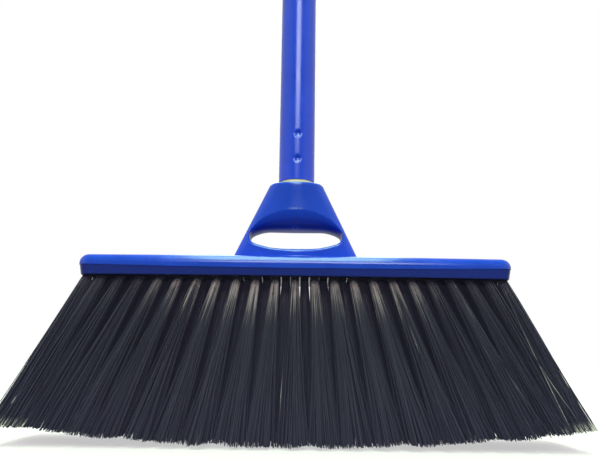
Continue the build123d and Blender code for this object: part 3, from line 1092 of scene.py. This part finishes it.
def hole_shade_glint_and_mark(place, body):
    """The colour of the head with painted shade in its finger hole, a moulding mark under the grip
    and a painted glint on the arch.

    It comes with a mask of that inside.
    """
    head = settings()[0]
    base_z, floor_z = block_top(), finger_floor_z()
    arch_z = floor_z + head.finger_height
    face_slope = 0.16
    x, y, z = axes(place)
    aside = off_centre(x)
    slope = (head.neck_base_x - head.neck_top_x) / 2 / (HEAD_HIGH.z - base_z)
    side = head.neck_base_x / 2 + slope * base_z
    inside = mask(
        (calculated("MULTIPLY_ADD", aside, face_slope, off_centre(y)), 15.1 * MM, 11.0 * MM),
        (z, floor_z + 2.0 * MM, floor_z + 7.0 * MM),
        (z, arch_z + 1.0 * MM, arch_z - 0.5 * MM),
        (calculated("MULTIPLY_ADD", z, slope, aside), side - 1.2 * MM, side - 2.5 * MM),
    )
    # Painted shade inside the finger hole
    body = mixed(inside, body, head.hole_shade_tone)
    # A faint round moulding mark under the grip
    mark_scale = (1 / (2.1 * MM), 1 / (3.0 * MM), 0.0)
    mark = follow(place, "Mapping", Location=(0.1, 2.35, 0.0), Scale=mark_scale)
    reach = follow(mark.outputs["Vector"], "VectorMath", operation="LENGTH").outputs["Value"]
    circle = mask((reach, 0.5, 0.8), (reach, 1.1, 0.8, 0.0, 0.5))
    body = mixed(joined("MULTIPLY", inside, circle), body, head.mark_and_glint_tone)
    # A painted glint in the middle of the arch
    painted_glint = mask(
        (aside, 6.0 * MM, 2.0 * MM),
        (off_centre(z, arch_z + 0.3 * MM), 0.9 * MM, 0.1 * MM),
        (y, -12.0 * MM, -13.5 * MM),
        (noise(place, 620.0), 0.3, 0.6, 0.3, 1.0),
    )
    return mixed(painted_glint, body, head.mark_and_glint_tone), inside


def steel(name, base, rough):
    """Plain strip steel with fine drawing lines along Z."""
    material, shader, place = new_material(name)
    stretch = follow(place, "Mapping", Scale=(1.0, 1.0, 0.02))
    lines = noise(stretch.outputs["Vector"], 3000.0)
    dull = ranged(lines, 0.0, 1.0, rough - 0.08, rough + 0.08)
    tone = mixed(lines, tinted(base, 0.8), base)
    feed(shader, {"Base Color": tone, "Roughness": dull, "Metallic": 1.0})
    return material


def bristle_material():
    """Charcoal filament in slightly varied tones, painted sheen at outer roots, frayed at tips."""
    tufts = settings()[1]
    root_shade = (0.006, 0.006, 0.009)
    material, shader, place = new_material("charcoal_filament")
    tone, fray, side = (
        add_node(place.id_data, "Attribute", attribute_name=name).outputs["Fac"]
        for name in ("tone", "fray", "side")
    )
    x, y, z = axes(place)
    body = mixed(tone, tinted(tufts.charcoal, 0.8), tinted(tufts.charcoal, 1.2))
    # Lighter towards the tips, a painted light from below
    body = mixed(faded(z, 60 * MM, 5 * MM, 0.0, 0.8), body, tinted(tufts.charcoal, 1.3))
    # Painted sheen on the outer roots, from each filament's own reach up to the block
    reach = calculated("MULTIPLY_ADD", tone, -24 * MM, HEAD_LOW.z - 8 * MM)
    sheen_mask = mask(
        (z, reach, HEAD_LOW.z - 0.5 * MM),
        (off_centre(x, -3 * MM), 92 * MM, 55 * MM, 0.06, 1.0),
        (off_centre(y), 9 * MM, 14 * MM, 0.12, 1.0),
        (noise(place, 120.0), 0.25, 0.6, 0.55, 1.0),
        (side, 0.2, 1.0, 1.0, 0.4),
    )
    painted_sheen = mixed(tone, tinted(tufts.painted_sheen, 0.6), tinted(tufts.painted_sheen, 1.3))
    with_sheen = mixed(sheen_mask, body, painted_sheen)
    # Shade in the mouth of the hole, deeper at the sides of a tuft
    depth = calculated("MULTIPLY_ADD", z, -1.0, HEAD_LOW.z)
    past = joined("SUBTRACT", depth, calculated("MULTIPLY_ADD", side, 1.6 * MM, 0.9 * MM))
    shaded = mixed(faded(past, -0.3 * MM, 0.6 * MM), root_shade, with_sheen)
    surface = mixed(faded(fray, 0.75, 0.98), shaded, tufts.frayed)
    dull = faded(noise(place, 350.0), 0.0, 1.0, 0.40, 0.56)
    feed(shader, {"Base Color": surface, "Roughness": dull, "IOR": 1.40})
    # A painted glow of the bristles' own colour that lifts them where they lie in shade
    feed(shader, {"Emission Color": body, "Emission Strength": 0.34})
    return material


def studio_world():
    """White behind the object, a pale room, a skylight overhead and a tall window in front."""
    world = bpy.data.worlds.new("studio")
    bpy.context.scene.world = world
    tree = empty_tree(world)
    place = add_node(tree, "TexCoord").outputs["Generated"]
    x, y, z = axes(place)
    at_sides = faded(off_centre(x), 0.25, 0.9, ROOM_FRONT, ROOM_SIDE)
    room = joined("MAXIMUM", at_sides, faded(y, 0.0, 0.5, ROOM_FRONT, ROOM_BACK))
    lean = follow(place, "VectorMath", SKY_AXIS, operation="DOT_PRODUCT").outputs["Value"]
    skylight = mask(
        (lean, 0.43, 0.52),
        (off_centre(x, -0.015), 0.205, 0.145),
        (y, -0.15, 0.45, 1.0, 0.3),
    )
    window = mask(
        (z, 0.31, 0.395),
        (z, 0.68, 0.58),
        (off_centre(x, 0.03), 0.28, 0.12),
        (y, -0.05, -0.2),
    )
    lights = [
        add_node(tree, "VectorMath", tint, Scale=light, operation="SCALE").outputs["Vector"]
        for light, tint in ((room, ROOM_TINT), (skylight, SKY_TINT), (window, WINDOW_TINT))
    ]
    total = lights[0]
    for light in lights[1:]:
        total = follow(total, "VectorMath", light, operation="ADD").outputs["Vector"]
    soft = follow(total, "Background").outputs["Background"]
    white = add_node(tree, "Background", WHITE).outputs["Background"]
    rays = add_node(tree, "LightPath").outputs
    seen = joined("MAXIMUM", rays["Is Camera Ray"], rays["Is Transmission Ray"])
    follow(follow(seen, "MixShader", soft, white).outputs["Shader"], "OutputWorld")


def floor_material():
    """A pale finish that shows the camera a soft shadow and throws little light on the object."""
    seen_lift, seen_tone, lit_tone = 0.52, (0.50, 0.43, 0.45), (0.05, 0.05, 0.05)
    material = bpy.data.materials.new("pale_floor")
    tree = empty_tree(material)
    rays = add_node(tree, "LightPath").outputs
    y = axes(add_node(tree, "TexCoord").outputs["Object"])[1]
    mirrored = joined("MULTIPLY", rays["Is Glossy Ray"], faded(y, 0.03, 0.25, 0.08, 0.5))
    strength = calculated("MULTIPLY_ADD", rays["Is Camera Ray"], seen_lift, mirrored)
    pale = mixed(rays["Is Camera Ray"], lit_tone, seen_tone)
    diffuse = follow(pale, "BsdfDiffuse").outputs["BSDF"]
    lift = add_node(tree, "Emission", WHITE, strength).outputs["Emission"]
    follow(follow(diffuse, "AddShader", lift).outputs["Shader"], "OutputMaterial")
    return material


def stage_floor():
    """A plain pale floor just under the bristles."""
    half_size, below = 6.0, 0.4 * MM
    bm = bmesh.new()
    bmesh.ops.create_grid(bm, x_segments=1, y_segments=1, size=half_size)
    bmesh.ops.translate(bm, vec=(0, 0, -below), verts=bm.verts)
    mesh = bpy.data.meshes.new("floor")
    bm.to_mesh(mesh)
    bm.free()
    mesh.materials.append(floor_material())
    floor = add_object("floor", mesh)


# Operators


class BROOM_OT_head(bpy.types.Operator):
    """Make the moulded head: block, neck, socket, finger hole and drilled tuft holes"""

    bl_idname = "broom.head"
    bl_label = "Head"

    def execute(self, context):
        head = settings()[0]
        neck = stack_rings(neck_rings(), "neck")
        cutters = [finger_cutter(), hole_cutters()]
        steps = [("UNION", block_mesh())] + [("DIFFERENCE", cutter) for cutter in cutters]
        mesh = carve(neck, "head", steps)
        material = plastic(
            "head_plastic", head.plastic, rough=0.14, fine=1400.0, bump=0.06, marks=0.25,
            mark_scale=60.0, ior=1.53, painted_light_and_marks=True,
        )
        piece = finish_piece(
            "moulded_head", mesh, "head", material, "broom_head", sharp=35
        )
        weigh_normals(piece)
        return {"FINISHED"}


class BROOM_OT_tufts(bpy.types.Operator):
    """Make the bristles of every column of tufts, and finish the anchors that hold them"""

    bl_idname = "broom.tufts"
    bl_label = "Tufts"

    def execute(self, context):
        rng = random.Random(TUFT_SEED)
        material = bristle_material()
        columns = tuft_columns()
        if len(columns) != len(TUFT_COLUMNS):
            raise RuntimeError("the packed model has another number of tuft columns")
        for node, column in zip(TUFT_COLUMNS, columns):
            name = node.replace("tuft_column", "bristles")
            mesh = column_mesh(column, rng, name)
            finish_piece(name, mesh, "head", material, node, sharp=180)
        anchor = frame["nodes"]["tuft_anchors"]
        anchor.data.materials[0] = steel("anchor_wire", settings()[2].steel, rough=0.35)
        return {"FINISHED"}


class BROOM_OT_handle(bpy.types.Operator):
    """Make the film on the handle, and finish the steel tube inside it"""

    bl_idname = "broom.handle"
    bl_label = "Handle"

    def execute(self, context):
        handle = settings()[2]
        material = plastic(
            "film_plastic", handle.film_blue, rough=0.20, fine=700.0, bump=0.06, marks=0.05,
            mark_scale=60.0, ior=1.62,
        )
        finish_piece("film", film_mesh(), "handle", material, "handle_film", sharp=60)
        tube = frame["nodes"]["handle_tube"]
        tube.data.materials[0] = steel("tube_steel", handle.steel, rough=0.32)
        return {"FINISHED"}


class BROOM_OT_tip(bpy.types.Operator):
    """Make the threaded tip that joins the handle to the head"""

    bl_idname = "broom.tip"
    bl_label = "Threaded tip"

    def execute(self, context):
        mesh, yellow = tip_mesh(), settings()[2].yellow
        # The tip's painted glow lifts it in the shade between the tube and the rim
        material = plastic(
            "tip_plastic", yellow, rough=0.15, fine=1600.0, bump=0.06, marks=0.1, painted_glow=0.16
        )
        finish_piece("tip", mesh, "handle", material, "threaded_tip", sharp=30)
        return {"FINISHED"}


class BROOM_OT_cap(bpy.types.Operator):
    """Make the hanging cap at the top of the handle"""

    bl_idname = "broom.cap"
    bl_label = "Hanging cap"

    def execute(self, context):
        mesh, blue = cap_mesh(), settings()[2].cap_blue
        material = plastic("cap_plastic", blue, rough=0.32, fine=1500.0, bump=0.15, marks=0.4)
        piece = finish_piece("cap", mesh, "cap", material, "hanging_cap", sharp=40)
        weigh_normals(piece)
        return {"FINISHED"}


class BROOM_OT_stage(bpy.types.Operator):
    """Make the floor, the lit world and the camera"""

    bl_idname = "broom.stage"
    bl_label = "Studio"

    def execute(self, context):
        stage_floor()
        studio_world()
        camera = bpy.data.cameras.new("camera")
        camera.sensor_fit = "HORIZONTAL"
        camera.sensor_width = CAMERA_SENSOR
        camera.lens = CAMERA_LENS
        camera.clip_start = 0.01
        holder = add_object("camera", camera)
        pitch = Matrix.Rotation(CAMERA_PITCH, 4, "X")
        roll = Matrix.Rotation(CAMERA_ROLL, 4, "Z")
        holder.matrix_world = Matrix.Translation(CAMERA_PLACE) @ pitch @ roll
        context.scene.camera = holder
        context.scene.view_settings.view_transform = "Standard"
        return {"FINISHED"}


class BROOM_PT_panel(bpy.types.Panel):
    """Settings and steps of the broom"""

    bl_idname = "BROOM_PT_panel"
    bl_label = "Broom"
    bl_space_type = "VIEW_3D"
    bl_region_type = "UI"
    bl_category = "Broom"

    def draw(self, context):
        for group in settings():
            box = self.layout.box()
            for name in group.__annotations__:
                box.prop(group, name)
        for operator in OPERATORS:
            self.layout.operator(operator.bl_idname)


GROUPS = (
    ("broom_head", BroomHeadSettings),
    ("broom_tufts", BroomTuftSettings),
    ("broom_handle", BroomHandleSettings),
)
OPERATORS = (
    BROOM_OT_stage,
    BROOM_OT_head,
    BROOM_OT_tufts,
    BROOM_OT_handle,
    BROOM_OT_tip,
    BROOM_OT_cap,
)


def register():
    for name, group in GROUPS:
        bpy.utils.register_class(group)
        setattr(bpy.types.Scene, name, bpy.props.PointerProperty(type=group))
    for made in OPERATORS + (BROOM_PT_panel,):
        bpy.utils.register_class(made)


def unregister():
    for made in reversed(OPERATORS + (BROOM_PT_panel,)):
        bpy.utils.unregister_class(made)
    for name, group in reversed(GROUPS):
        delattr(bpy.types.Scene, name)
        bpy.utils.unregister_class(group)


def main():
    register()
    bpy.ops.broom.stage()
    bpy.ops.broom.head()
    bpy.ops.broom.tufts()
    bpy.ops.broom.handle()
    bpy.ops.broom.tip()
    bpy.ops.broom.cap()


if __name__ == "__main__":
    main()
